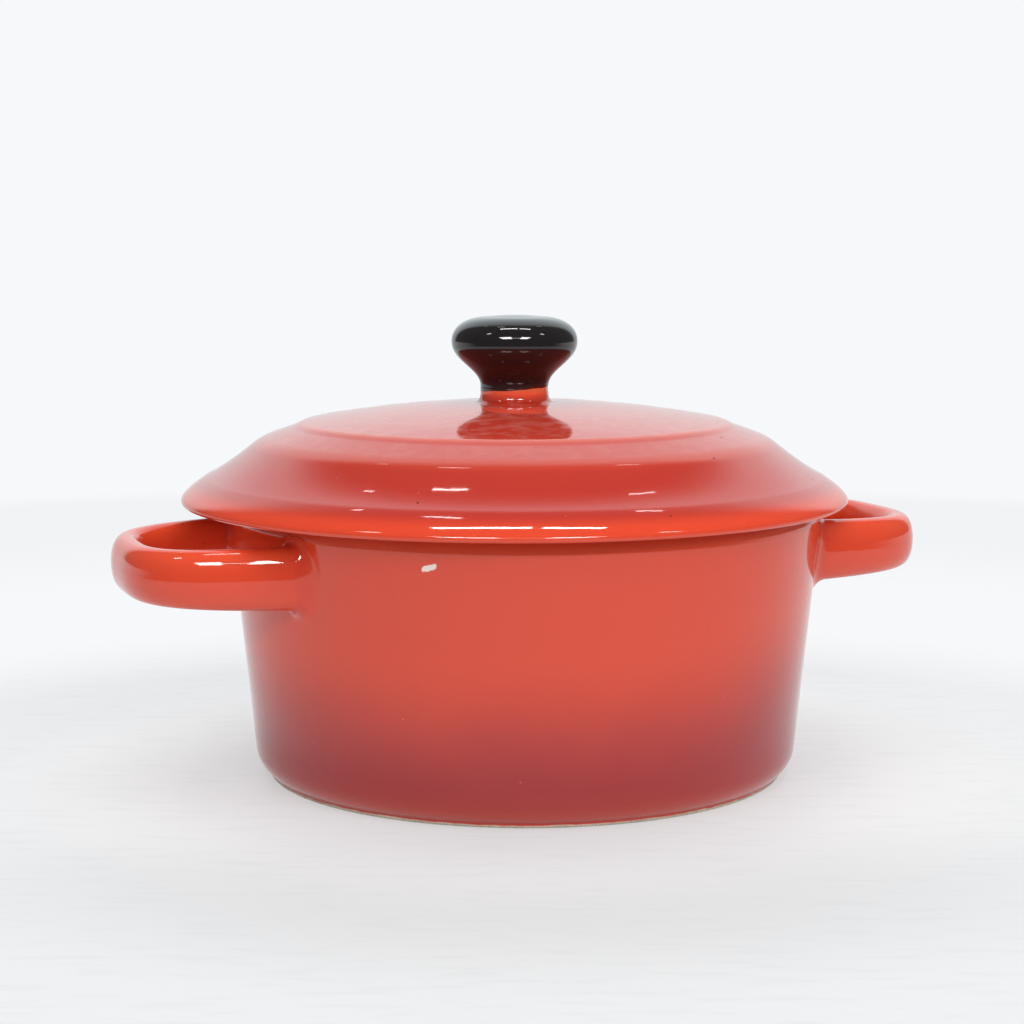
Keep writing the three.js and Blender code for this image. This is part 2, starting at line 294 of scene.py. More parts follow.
def rounded(before, corner, after, size):
    """Arc of a given size that is tangent to both sides of a corner."""
    before, corner, after = (np.asarray(p, float) for p in (before, corner, after))
    back = (before - corner) / np.linalg.norm(before - corner)
    ahead = (after - corner) / np.linalg.norm(after - corner)
    half = math.acos(np.clip(back @ ahead, -1.0, 1.0)) / 2
    middle = corner + (back + ahead) / np.linalg.norm(back + ahead) * size / math.sin(half)
    start = corner + back * size / math.tan(half) - middle
    end = corner + ahead * size / math.tan(half) - middle
    first = math.atan2(start[1], start[0])
    sweep = math.remainder(math.atan2(end[1], end[0]) - first, FULL_TURN)
    return arc(*middle, size, first, first + sweep)


def profile_of(parts, longest):
    """One line through all parts, without doubled points and with each long side split evenly."""
    line = np.concatenate([np.atleast_2d(part) for part in parts])
    apart = np.linalg.norm(np.diff(line, axis=0), axis=1)
    line = line[np.concatenate([[True], apart > TINY])]
    apart = apart[apart > TINY]
    pieces = np.ceil(apart / longest).astype(int)
    place = travel(line)
    first = np.repeat(place[:-1], pieces)
    size = np.repeat(apart / pieces, pieces)
    count = np.arange(len(first)) - np.repeat(np.cumsum(pieces) - pieces, pieces)
    along = np.append(first + size * count, place[-1])
    return np.stack([np.interp(along, place, line[:, k]) for k in (0, 1)], axis=-1)


def bend_of(profile, reach, sharp):
    """How sharply a profile turns, from -1 in a hollow to 1 on an edge.

    The turning angle at each point is spread along the line by a bell curve of width reach, which gives a
    curvature, and the curvature of a circle of radius sharp counts as 1.
    """
    side = np.diff(profile, axis=0)
    heading = np.unwrap(np.arctan2(side[:, 1], side[:, 0]))
    along = travel(profile)
    turning = np.concatenate([[0.0], np.diff(heading), [0.0]])
    bell = np.exp(-(((along[:, None] - along[None, :]) / reach) ** 2)) / (reach * math.sqrt(math.pi))
    return np.clip(bell @ turning * sharp, -1.0, 1.0)


def travel(profile):
    """Length along a profile up to each of its points."""
    return np.concatenate([[0.0], np.cumsum(np.linalg.norm(np.diff(profile, axis=0), axis=1))])


def smooth(value):
    """Smooth step: 0 below 0, 1 above 1, and 3 v squared less 2 v cubed between."""
    value = np.clip(value, 0.0, 1.0)
    return value * value * (3 - 2 * value)


class Wall:
    """Lines of the bowl's leaning wall."""

    def __init__(self, bowl):
        self.taper = (bowl.rim_radius - bowl.base_radius) / bowl.height
        self.lean = math.atan(self.taper)
        self.across = math.hypot(1.0, self.taper)
        self.base = bowl.base_radius
        self.thick = bowl.wall

    def outer(self, height):
        return self.base + self.taper * height

    def inner(self, height):
        return self.outer(height) - self.thick


def bowl_profile(bowl):
    """Half section of the bowl: under the base, over the foot ring, up the wall, over the rim, to the floor.

    Straight sides joined by arcs; the wall's arcs are tangent to its lean.
    """
    wall = Wall(bowl)
    foot = bowl.base_radius - bowl.foot_setback
    foot_inner = foot - bowl.foot_width
    corner = wall.outer(bowl.base_corner) - bowl.base_corner * wall.across
    foot_angle = -math.acos((foot - corner) / bowl.base_corner)
    foot_rise = bowl.base_corner * (1 + math.sin(foot_angle))
    rim = bowl.height - bowl.rim_outer
    rim_radius = wall.outer(rim) - bowl.rim_outer * wall.across
    mouth = bowl.height - bowl.rim_inner
    mouth_radius = wall.inner(mouth) + bowl.rim_inner * wall.across
    bottom = bowl.floor + bowl.floor_corner
    bottom_radius = wall.inner(bottom) - bowl.floor_corner * wall.across
    recess = (foot_inner - bowl.recess_slope, bowl.foot_recess)
    inner_foot = (foot_inner, 0.0)
    outer_foot = (foot, 0.0)
    return profile_of(
        [
            (0.0, bowl.foot_recess),
            rounded((0.0, bowl.foot_recess), recess, inner_foot, bowl.foot_edge),
            rounded(recess, inner_foot, outer_foot, bowl.foot_edge),
            rounded(inner_foot, outer_foot, (foot, foot_rise + bowl.foot_edge), bowl.foot_edge),
            arc(corner, bowl.base_corner, bowl.base_corner, foot_angle, -wall.lean),
            arc(rim_radius, rim, bowl.rim_outer, -wall.lean, math.pi / 2),
            arc(mouth_radius, mouth, bowl.rim_inner, math.pi / 2, math.pi - wall.lean),
            arc(bottom_radius, bottom, bowl.floor_corner, -wall.lean, -math.pi / 2),
            (0.0, bowl.floor),
        ],
        LONGEST_SIDE,
    )


def lid_profile(lid, knob, seat):
    """Half section of the lid: dome underneath, locating ring, seat, edge, skirt, ledge, step, crown, boss.

    The dome, the edge and the hollow skirt are Bezier curves, the crown is a parabola, and the other corners
    are arcs.
    """
    flat_share = 0.6
    ring_inner = lid.ring_outer - lid.ring_width
    skirt = np.array([lid.radius - lid.skirt_inset, lid.skirt_height])
    ledge = skirt + (-lid.ledge_width, lid.ledge_rise)
    crown = ledge + (-lid.step_width, lid.step_rise)
    top = crown[1] + lid.crown_rise
    under = top - lid.thickness
    shoulder = np.array([lid.radius - lid.shoulder_inset, lid.shoulder_height])
    widest = np.array([lid.radius, lid.edge_height])
    roll = np.array([lid.radius, lid.edge_roll])
    hollow = np.array([lid.radius - lid.hollow_inset, lid.hollow_height])
    ridge = rounded(hollow, skirt, ledge, lid.ridge_round)
    boss_foot = lid.boss_radius + lid.boss_fillet
    radii = np.linspace(crown[0], boss_foot, CURVE_POINTS)
    dome = np.stack([radii, top - lid.crown_rise * (radii / crown[0]) ** 2], axis=-1)
    joint = knob.joint - seat
    end_inner = (ring_inner, -lid.ring_depth)
    end_outer = (lid.ring_outer, -lid.ring_depth)
    seat_inner = (lid.ring_outer, 0.0)
    seat_outer = (lid.radius - lid.lip_width, 0.0)
    return profile_of(
        [
            bezier(
                (0.0, under),
                (flat_share * ring_inner, under),
                (ring_inner, (under + lid.under_spring) / 2),
                (ring_inner, lid.under_spring),
            ),
            rounded((ring_inner, 0.0), end_inner, end_outer, lid.ring_round),
            rounded(end_inner, end_outer, seat_inner, lid.ring_round),
            rounded(end_outer, seat_inner, seat_outer, lid.ring_round),
            seat_outer,
            (lid.radius - lid.lip_width / 2, -lid.lip_drop),
            bezier((lid.radius - lid.edge_round, -lid.lip_drop), (lid.radius, -lid.lip_drop), widest),
            bezier(widest, roll, shoulder),
            bezier(shoulder, hollow, ridge[0]),
            ridge,
            rounded(skirt, ledge, crown, lid.step_round),
            rounded(ledge, crown, dome[1], lid.step_round),
            dome[2:],
            bezier(dome[-1], (lid.boss_radius, dome[-1, 1]), (lid.boss_radius, top + lid.boss_fillet)),
            (lid.boss_radius, joint - 2 * CRISP),
            (lid.boss_radius, joint - CRISP),
            (lid.boss_radius - CRISP, joint),
            (0.0, joint),
        ],
        LONGEST_SIDE,
    )


def knob_profile(knob):
    """Half section of the knob: straight neck, a flare and a cap that are Bezier curves, and a flat top."""
    leave_neck, reach_rim, round_cap = 0.37, 0.45, 0.6
    neck = knob.joint + knob.neck_height
    widest = neck + knob.flare
    cap = knob.top - widest
    shelf = knob.top - knob.crown
    return profile_of(
        [
            (0.0, knob.joint),
            (knob.neck_radius - CRISP, knob.joint),
            (knob.neck_radius, knob.joint + CRISP),
            (knob.neck_radius, knob.joint + 2 * CRISP),
            bezier(
                (knob.neck_radius, neck),
                (knob.neck_radius, neck + leave_neck * knob.flare),
                (knob.radius, widest - reach_rim * knob.flare),
                (knob.radius, widest),
            ),
            bezier(
                (knob.radius, widest),
                (knob.radius, widest + round_cap * cap),
                (knob.flat + round_cap * (knob.radius - knob.flat), shelf),
                (knob.flat, shelf),
            ),
            bezier((knob.flat, shelf), (knob.flat / 2, knob.top), (0.0, knob.top)),
        ],
        LONGEST_KNOB_SIDE,
    )


# Skins


def round_steps(sides):
    """Angles of equal steps of a turn."""
    return np.linspace(0.0, FULL_TURN, sides, endpoint=False)


def turned(profile, sides):
    """Surface of revolution: point (i, j) is row i of the profile after j equal steps of a turn."""
    turn = round_steps(sides)
    radius, height = profile[:, :1], profile[:, 1:]
    level = np.broadcast_to(height, (len(profile), sides))
    return np.stack([radius * np.cos(turn), radius * np.sin(turn), level], axis=-1)


def ring_faces(rows, around):
    """Quads over a grid of rings: (i, j) joins (i, j + 1) round its ring and (i + 1, j) on the next."""
    row = np.arange(rows - 1)[:, None] * around
    column = np.arange(around)
    following = np.roll(column, -1)
    corners = [row + column, row + following, row + around + following, row + around + column]
    return np.stack(np.broadcast_arrays(*corners), axis=-1).reshape(-1, 4)


def fan_faces(tip, first, around):
    """Triangles from a tip to each side of the ring that starts at the point first."""
    column = np.arange(around)
    return np.stack([np.full(around, tip), first + column, first + np.roll(column, -1)], axis=-1)


def new_object(name, points, faces, material, marks):
    """A mesh object in the scene, with marks, which are values for each point, as the mesh's attributes."""
    mesh = bpy.data.meshes.new(name)
    mesh.from_pydata(points.tolist(), [], [corners for part in faces for corners in part.tolist()])
    for label, values in marks.items():
        mesh.attributes.new(label, "FLOAT", "POINT").data.foreach_set("value", values.astype(np.float32))
    mesh.materials.append(material)
    made = bpy.data.objects.new(name, mesh)
    bpy.context.scene.collection.objects.link(made)
    return made


def closed_skin(name, rings, tips, material, marks):
    """Closed smooth object over a grid of rings, which closes at each end as a fan on its tip.

    Marks are values for each grid point, kept as attributes of the mesh.
    """
    rows, around = rings.shape[:2]
    tip = rows * around
    start = fan_faces(tip, 0, around)[:, ::-1]
    end = fan_faces(tip + 1, tip - around, around)
    flat = {}
    for label, values in marks.items():
        values = np.broadcast_to(values, (rows, around))
        flat[label] = np.concatenate([values.ravel(), [values[0].mean(), values[-1].mean()]])
    points = np.concatenate([rings.reshape(-1, 3), tips])
    piece = new_object(name, points, [ring_faces(rows, around), start, end], material, flat)
    piece.data.shade_smooth()
    piece.data.validate()
    return piece


def wheel(name, profile, sides, shift, material, marks, draw=0.0):
    """Closed solid of revolution whose profile starts and ends on its axis, moved by shift.

    Draw is how far each grid point is drawn in towards the axis.
    """
    rings = turned(profile[1:-1], sides)
    radius = np.hypot(rings[..., :1], rings[..., 1:2])
    inward = np.broadcast_to(draw, (len(profile), sides))[1:-1, :, None]
    rings = rings * np.where([True, True, False], 1 - inward / radius, 1.0)
    tips = np.array([[0.0, 0.0, profile[0, 1]], [0.0, 0.0, profile[-1, 1]]])
    marks = {label: values[1:-1] for label, values in marks.items()}
    return closed_skin(name, rings + shift, tips + shift, material, marks)


def power(value, exponent):
    """Power of a value's size that keeps its sign."""
    return np.sign(value) * np.abs(value) ** exponent


def handle_skin(bowl, handle):
    """Grid of a loop handle's skin on the +X side, with how far each point lies inside a root's fillet.

    The middle line is half a squared ellipse in plan, walked in equal lengths. Round it lies a squared oval
    that grows from the loop's end to its roots. Close to the wall each point moves along the wall, away from
    the root's middle, by a quarter circle of the fillet's size, so that the skin ends along the wall. Each
    line of the grid starts and stops where it is a little under the wall's skin, and runs out fast there.
    """
    run_out = 30
    wall = Wall(bowl)
    middle = bowl.height - handle.drop
    wall_radius = wall.outer(middle)
    half = (handle.width - handle.thickness) / 2
    start = math.sqrt(wall_radius**2 - (handle.width / 2) ** 2) - handle.root_thickness
    end = wall_radius + handle.reach - handle.thickness / 2
    angle = np.linspace(0.0, np.pi, LOOP_SAMPLES)
    plan = np.stack(
        [
            start + (end - start) * np.abs(np.sin(angle)) ** (2 / handle.squareness),
            half * power(np.cos(angle), 2 / handle.squareness),
        ],
        axis=-1,
    )
    share = travel(plan)
    share /= share[-1]
    heading = np.gradient(plan, share, axis=0)
    heading /= np.linalg.norm(heading, axis=1, keepdims=True)
    section = round_steps(handle.sides)
    side = power(np.cos(section), 2 / handle.section)
    rise = power(np.sin(section), 2 / handle.section)

    def plain(at):
        """Points of the squared oval at a share of the loop, and the middle line's points."""
        x, y, along_x, along_y = (
            np.interp(at, share, line) for line in (plan[:, 0], plan[:, 1], heading[:, 0], heading[:, 1])
        )
        inward = (end - x) / (end - start)
        thick = handle.thickness + (handle.root_thickness - handle.thickness) * inward
        tall = handle.height + (handle.root_height - handle.height) * inward
        out = side * thick / 2
        point = np.stack([x - along_y * out, y + along_x * out, middle + rise * tall / 2], axis=-1)
        return point, np.stack([x, y], axis=-1)

    def off_wall(point):
        return np.hypot(point[..., 0], point[..., 1]) - wall.outer(point[..., 2])

    dense = np.linspace(0.0, 1.0, LOOP_SAMPLES)
    clear = off_wall(plain(np.repeat(dense[:, None], handle.sides, axis=1))[0]) > -handle.sink
    low = dense[clear.argmax(axis=0)]
    high = dense[LOOP_SAMPLES - 1 - clear[::-1].argmax(axis=0)]
    row = (1 - np.cos(np.linspace(0.0, np.pi, handle.rows))) / 2
    point, centre = plain(low + row[:, None] * (high - low))

    gap = off_wall(point)
    turn = np.arctan2(point[..., 1], point[..., 0])
    turn_middle = np.arctan2(centre[..., 1], centre[..., 0])
    away = np.stack([(turn - turn_middle) * wall_radius, point[..., 2] - middle], axis=-1)
    away /= np.linalg.norm(away, axis=-1, keepdims=True) + TINY
    over, beside = np.sin(section), np.cos(section)
    fillet = np.where(over > 0, handle.fillet_above, handle.fillet_under) * over**2
    fillet = fillet + np.where(beside > 0, handle.fillet_outer, handle.fillet_inner) * beside**2
    inside = np.clip(fillet - gap, 0.0, fillet)
    spread = fillet - np.sqrt(fillet**2 - inside**2) + run_out * np.clip(-gap, 0.0, None)
    turn = turn + spread * away[..., 0] / wall_radius
    level = point[..., 2] + spread * away[..., 1]
    radius = wall.outer(level) + gap
    rings = np.stack([radius * np.cos(turn), radius * np.sin(turn), level], axis=-1)
    return rings, inside / fillet


# Shader nodes


def put(tree, kind, inputs=None, **settings):
    """A new node, with its settings made and each input linked to a socket or set to a value."""
    made = tree.nodes.new(kind)
    for name, value in settings.items():
        setattr(made, name, value)
    for name, value in (inputs or {}).items():
        if isinstance(value, bpy.types.NodeSocket):
            tree.links.new(value, made.inputs[name])
        else:
            made.inputs[name].default_value = value
    return made


def calc(tree, operation, first, second):
    """Result of an operation on two values or sockets."""
    return put(tree, "ShaderNodeMath", {0: first, 1: second}, operation=operation).outputs[0]


def times(tree, first, second):
    return calc(tree, "MULTIPLY", first, second)


def plus(tree, first, second):
    return calc(tree, "ADD", first, second)


def minus(tree, first, second):
    return calc(tree, "SUBTRACT", first, second)


def weighed(tree, *pairs):
    """Sum of values that are each times a weight."""
    products = [times(tree, value, weight) for value, weight in pairs]
    total = products[0]
    for product in products[1:]:
        total = plus(tree, total, product)
    return total


def size_of(tree, vector):
    """Length of a vector."""
    return put(tree, "ShaderNodeVectorMath", {0: vector}, operation="LENGTH").outputs["Value"]


def part_of(tree, vector, axis):
    """One coordinate of a vector."""
    return put(tree, "ShaderNodeSeparateXYZ", {0: vector}).outputs[axis]


def mapped(tree, vector, kind="POINT", **changes):
    """A vector after the changes of a mapping node: Location, Rotation and Scale."""
    return put(tree, "ShaderNodeMapping", {"Vector": vector, **changes}, vector_type=kind).outputs[0]


def step(tree, value, low, high):
    """Smooth step of a value between low and high."""
    inputs = {"Value": value, "From Min": low, "From Max": high}
    return put(tree, "ShaderNodeMapRange", inputs, interpolation_type="SMOOTHSTEP").outputs["Result"]


def mixed(tree, share, first, second):
    """Colour between two colours or sockets."""
    return put(tree, "ShaderNodeMix", {0: share, 6: first, 7: second}, data_type="RGBA").outputs[2]


def dimmed(tree, colour, value):
    """A colour with its brightness times a value."""
    return put(tree, "ShaderNodeHueSaturation", {"Color": colour, "Value": value}).outputs[0]


def shown(tree, share, first, second):
    """Shader between the shaders of two nodes."""
    return put(tree, "ShaderNodeMixShader", {0: share, 1: first.outputs[0], 2: second.outputs[0]}).outputs[0]


def noise(tree, place, scale, detail=2.0, stretch=None):
    """Values of a noise texture about 0.5, at a number of waves to the metre."""
    if stretch is not None:
        place = mapped(tree, place, Scale=stretch)
    return put(tree, "ShaderNodeTexNoise", {"Vector": place, "Scale": scale, "Detail": detail}).outputs[0]


def wavering(tree, place, scale, detail, swing):
    """Values that waver about 0, over a range of the size of swing."""
    return times(tree, minus(tree, noise(tree, place, scale, detail), 0.5), swing)


def mark(tree, name):
    """Values of one of the mesh's own attributes."""
    return put(tree, "ShaderNodeAttribute", attribute_name=name).outputs["Fac"]


def rgba(colour):
    return (*colour, 1.0)


def group(name, inputs, outputs, fill):
    """A shader node group, built once: fill gets its tree and inputs, and returns its outputs."""
    made = bpy.data.node_groups.get(name)
    if made is not None:
        return made
    made = bpy.data.node_groups.new(name, "ShaderNodeTree")
    for socket, kind in inputs.items():
        made.interface.new_socket(name=socket, in_out="INPUT", socket_type=kind)
    for socket, kind in outputs.items():
        made.interface.new_socket(name=socket, in_out="OUTPUT", socket_type=kind)
    given = put(made, "NodeGroupInput").outputs
    put(made, "NodeGroupOutput", fill(made, given))
    return made


def use(tree, made, inputs):
    """Outputs of a node group placed in a tree."""
    return put(tree, "ShaderNodeGroup", inputs, node_tree=made).outputs


VALUE = "NodeSocketFloat"
VECTOR = "NodeSocketVector"
COLOUR = "NodeSocketColor"


def glaze_flaws():
    """Orange-peel height with pinholes, and dark and pale specks of a glossy glaze."""

    def dots(tree, place, scale, size):
        """Soft round dots, sized as a share of the cells that hold them."""
        core = 0.6
        cells = put(tree, "ShaderNodeTexVoronoi", {"Vector": place, "Scale": scale})
        return step(tree, cells.outputs["Distance"], size, size * core)

    def fill(tree, given):
        place = given["Place"]
        pits = dots(tree, place, scale=330.0, size=0.05)
        peel = noise(tree, place, scale=420.0, detail=1.0)
        wave = noise(tree, place, scale=75.0, detail=1.0)
        return {
            "Dark": dots(tree, place, scale=190.0, size=0.045),
            "Pale": dots(tree, place, scale=230.0, size=0.035),
            "Height": weighed(tree, (peel, 0.12), (wave, 0.6), (pits, -0.5)),
        }

    outputs = {"Dark": VALUE, "Pale": VALUE, "Height": VALUE}
    return group("Glaze flaws", {"Place": VECTOR}, outputs, fill)


def glaze_break():
    """Colour of a glaze that thins over edges and gathers in hollows."""

    def fill(tree, given):
        over = calc(tree, "MAXIMUM", given["Bend"], 0.0)
        under = calc(tree, "MAXIMUM", times(tree, given["Bend"], -1.0), 0.0)
        colour = mixed(tree, over, given["Colour"], given["Thin"])
        return {"Colour": mixed(tree, under, colour, given["Pool"])}

    inputs = {"Colour": COLOUR, "Thin": COLOUR, "Pool": COLOUR, "Bend": VALUE}
    return group("Glaze break", inputs, {"Colour": COLOUR}, fill)


def dust_film():
    """Share of a dusty, finely scratched film, thickest on what faces up."""

    def fill(tree, given):
        place = given["Place"]
        up = part_of(tree, put(tree, "ShaderNodeNewGeometry").outputs["Normal"], "Z")
        cloud = step(tree, noise(tree, place, scale=330.0, detail=4.0), low=0.42, high=0.70)
        hairs = noise(tree, place, scale=900.0, stretch=(0.12, 1.0, 1.0))
        hairs = step(tree, hairs, low=0.6, high=0.72)
        level = step(tree, up, low=0.88, high=0.99)
        film = times(tree, weighed(tree, (cloud, 0.6), (hairs, 0.4)), level)
        return {"Film": times(tree, film, given["Amount"])}

    return group("Dust film", {"Place": VECTOR, "Amount": VALUE}, {"Film": VALUE}, fill)


def clay_grain():
    """Colour of bare, fired clay."""

    def fill(tree, given):
        fine = noise(tree, given["Place"], scale=2600.0, detail=3.0)
        blotch = noise(tree, given["Place"], scale=220.0)
        pale = step(tree, weighed(tree, (fine, 0.6), (blotch, 0.4)), low=0.4, high=0.6)
        dark = dimmed(tree, given["Colour"], value=0.7)
        return {"Colour": mixed(tree, pale, dark, given["Colour"])}

    return group("Clay grain", {"Place": VECTOR, "Colour": COLOUR}, {"Colour": COLOUR}, fill)


def empty_tree(owner):
    """Node tree of a material or a world, with nothing in it."""
    owner.use_nodes = True
    owner.node_tree.nodes.clear()
    return owner.node_tree


def new_material(name):
    """A new material with its tree, a Principled shader and Object coordinates."""
    material = bpy.data.materials.new(name)
    tree = empty_tree(material)
    shader = put(tree, "ShaderNodeBsdfPrincipled", {"IOR": 1.56})
    put(tree, "ShaderNodeOutputMaterial", {"Surface": shader.outputs[0]})
    place = put(tree, "ShaderNodeTexCoord").outputs["Object"]
    return material, tree, shader, place


def join(tree, shader, colour, roughness, height, depth):
    """Links colour, roughness and a bump of a given depth to a shader."""
    tree.links.new(colour, shader.inputs["Base Color"])
    tree.links.new(roughness, shader.inputs["Roughness"])
    bump = put(tree, "ShaderNodeBump", {"Height": height, "Strength": 1.0, "Distance": depth})
    tree.links.new(bump.outputs[0], shader.inputs["Normal"])


def ramp(tree, value, stops):
    """Colour ramp through stops of place and colour, eased between them."""
    made = put(tree, "ShaderNodeValToRGB", {0: value})
    made.color_ramp.interpolation = "EASE"
    elements = made.color_ramp.elements
    while len(elements) < len(stops):
        elements.new(0.5)
    for element, (place, colour) in zip(elements, stops):
        element.position = place
        element.color = rgba(colour)
    return made.outputs[0]


def broken(tree, colour, glaze):
    """A red glaze colour that follows the edges and hollows marked on the mesh."""
    inputs = {"Colour": colour, "Thin": rgba(glaze.thin), "Pool": rgba(glaze.pool)}
    return use(tree, glaze_break(), {**inputs, "Bend": mark(tree, "bend")})["Colour"]


def speckled(tree, flaws, colour, glaze, dark):
    """A glaze colour with its pale specks and a share of its dark ones."""
    pale = 0.6
    colour = mixed(tree, times(tree, flaws["Dark"], dark), colour, rgba(glaze.speck))
    return mixed(tree, times(tree, flaws["Pale"], pale), colour, rgba(glaze.thin))


def film_share(tree, place, amount):
    """Share of the dust film, whose amount is its share where it is thickest."""
    return use(tree, dust_film(), {"Place": place, "Amount": amount})["Film"]


def bare_clay(tree, place, glaze):
    """Colour of the bare clay."""
    return use(tree, clay_grain(), {"Place": place, "Colour": rgba(glaze.clay)})["Colour"]


def chip_share(tree, place, bowl):
    """Share of a small flat chip in the glaze, an oval with a ragged edge."""
    tilt, flatness = -0.35, 0.19
    outside, inside = 1.6, 1.25
    angle = bowl.chip_turn
    radius = Wall(bowl).outer(bowl.chip_height)
    oval = mapped(
        tree,
        place,
        "TEXTURE",
        Location=(radius * math.cos(angle), radius * math.sin(angle), bowl.chip_height),
        Rotation=(0.0, tilt, angle + math.pi / 2),
        Scale=(bowl.chip_width / 2, bowl.chip_width, bowl.chip_width * flatness),
    )
    ragged = plus(tree, size_of(tree, oval), noise(tree, place, scale=1500.0))
    return step(tree, ragged, outside, inside)


def bowl_material(bowl, glaze):
    """Red glaze shading to maroon at the foot, with painted light low on the base's rounding, cream glaze
    inside and bare clay under the foot.
    """
    maroon_share, red_share = 0.12, 0.60
    # Painted light: the lowest few millimetres turn back towards the bright red, as light from the table on
    # the rounding.
    foot_light_top, foot_light_full, thin_share = 0.0042, 0.0012, 0.45
    bare_top, bare_full = 0.00055, 0.0004
    gloss, chip_roughness = 0.05, 0.3
    material, tree, shader, place = new_material("bowl_glaze")
    height = part_of(tree, place, "Z")
    cloud = wavering(tree, place, scale=45.0, detail=3.0, swing=0.006)
    # Height measured against the maroon band's top, which rises away from its lowest side.
    tide_height = minus(tree, plus(tree, height, cloud), mark(tree, "tide"))
    share = calc(tree, "DIVIDE", tide_height, bowl.height)
    red = ramp(tree, share, [(maroon_share, glaze.maroon), (red_share, glaze.red)])
    # Painted light on the base's rounding.
    painted_foot_light = times(tree, step(tree, height, foot_light_top, foot_light_full), thin_share)
    red = broken(tree, mixed(tree, painted_foot_light, red, rgba(glaze.red)), glaze)
    flaws = use(tree, glaze_flaws(), {"Place": place})
    red = speckled(tree, flaws, red, glaze, dark=0.15)
    colour = mixed(tree, mark(tree, "cream"), red, rgba(glaze.cream))
    edge = wavering(tree, place, scale=300.0, detail=2.0, swing=0.0004)
    bare = step(tree, plus(tree, height, edge), bare_top, bare_full)
    colour = mixed(tree, bare, colour, bare_clay(tree, place, glaze))
    chip = chip_share(tree, place, bowl)
    colour = mixed(tree, chip, colour, rgba(glaze.chip))
    roughness = plus(tree, weighed(tree, (bare, CLAY_ROUGHNESS), (chip, chip_roughness)), gloss)
    join(tree, shader, colour, roughness, flaws["Height"], depth=0.00004)
    return material


def handle_material(glaze):
    """Red glaze that thins along the strand's edges and gathers round the roots."""
    gloss, dulling = 0.045, 1.2
    material, tree, shader, place = new_material("handle_glaze")
    flaws = use(tree, glaze_flaws(), {"Place": place})
    colour = speckled(tree, flaws, broken(tree, rgba(glaze.red), glaze), glaze, dark=0.3)
    film = film_share(tree, place, amount=0.05)
    colour = mixed(tree, film, colour, rgba(glaze.dust))
    roughness = plus(tree, times(tree, film, dulling), gloss)
    join(tree, shader, colour, roughness, flaws["Height"], depth=0.00004)
    return material


def dipped(tree, red, glaze):
    """Red glaze under the black glaze's lower edge, which thins to a dark overlap.

    The heights of the overlap and of the edge's blur are in millimetres, as the mesh's own mark is.
    """
    overlap, blur = 0.9, 0.04
    above = mark(tree, "dip")
    black = mixed(tree, step(tree, above, 0.0, overlap), rgba(glaze.overlap), rgba(glaze.black))
    return mixed(tree, step(tree, above, -blur, blur), red, black)


def lid_material(lid, glaze):
    """Red glaze, painted darker on the crown, ledge and skirt as painted shade and lighter on the stem as
    painted light, with thin edges and a dusty crown, and cream glaze and bare clay below.

    The film is dusty and finely scratched, and it shows the more, the flatter it is looked along, which is a
    painted sheen.
    """
    gloss, dulling, mirror = 0.045, 1.2, 0.5
    material, tree, shader, place = new_material("lid_glaze")
    flat = mapped(tree, place, Location=(-lid.axis, 0.0, 0.0), Scale=(1.0, 1.0, 0.0))
    share = calc(tree, "DIVIDE", size_of(tree, flat), lid.radius)
    # Painted shade: crown, ledge and skirt are darker than the rim's red because they face up; painted light:
    # the stem is lighter under the knob.
    stops = [
        (0.11, glaze.stem),
        (0.16, glaze.crown),
        (0.50, glaze.crown),
        (0.66, glaze.ledge),
        (0.84, glaze.skirt),
        (0.94, glaze.skirt),
        (0.99, glaze.red),
    ]
    flaws = use(tree, glaze_flaws(), {"Place": place})
    colour = speckled(tree, flaws, broken(tree, ramp(tree, share, stops), glaze), glaze, dark=1.0)
    # Painted sheen: the dusty film grows at a slant.
    sheen_slant = put(tree, "ShaderNodeLayerWeight", {"Blend": 0.5}).outputs["Facing"]
    film = times(tree, film_share(tree, place, amount=0.18), sheen_slant)
    colour = mixed(tree, film, colour, rgba(glaze.dust))
    colour = mixed(tree, mark(tree, "cream"), colour, rgba(glaze.cream))
    bare = mark(tree, "bare")
    colour = mixed(tree, bare, colour, bare_clay(tree, place, glaze))
    colour = dipped(tree, colour, glaze)
    roughness = plus(tree, weighed(tree, (film, dulling), (bare, CLAY_ROUGHNESS)), gloss)
    join(tree, shader, colour, roughness, flaws["Height"], depth=0.00006)
    mirrored = times(tree, minus(tree, 1.0, flaws["Dark"]), mirror)
    tree.links.new(mirrored, shader.inputs["Specular IOR Level"])
    return material


def knob_material(glaze):
    """Black glaze over red."""
    gloss, dulling = 0.06, 2.0
    material, tree, shader, place = new_material("knob_glaze")
    flaws = use(tree, glaze_flaws(), {"Place": place})
    red = mixed(tree, flaws["Pale"], rgba(glaze.red), rgba(glaze.thin))
    red = speckled(tree, flaws, red, glaze, dark=0.5)
    film = film_share(tree, place, amount=0.003)
    colour = mixed(tree, film, dipped(tree, red, glaze), rgba(glaze.dust))
    roughness = plus(tree, times(tree, film, dulling), gloss)
    join(tree, shader, colour, roughness, flaws["Height"], depth=0.00003)
    return material


# Pieces


def seat_on(piece, body, node):
    """Says which body a piece moves with, and hides the solid that it stands for."""
    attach(piece, body)
    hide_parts(node)


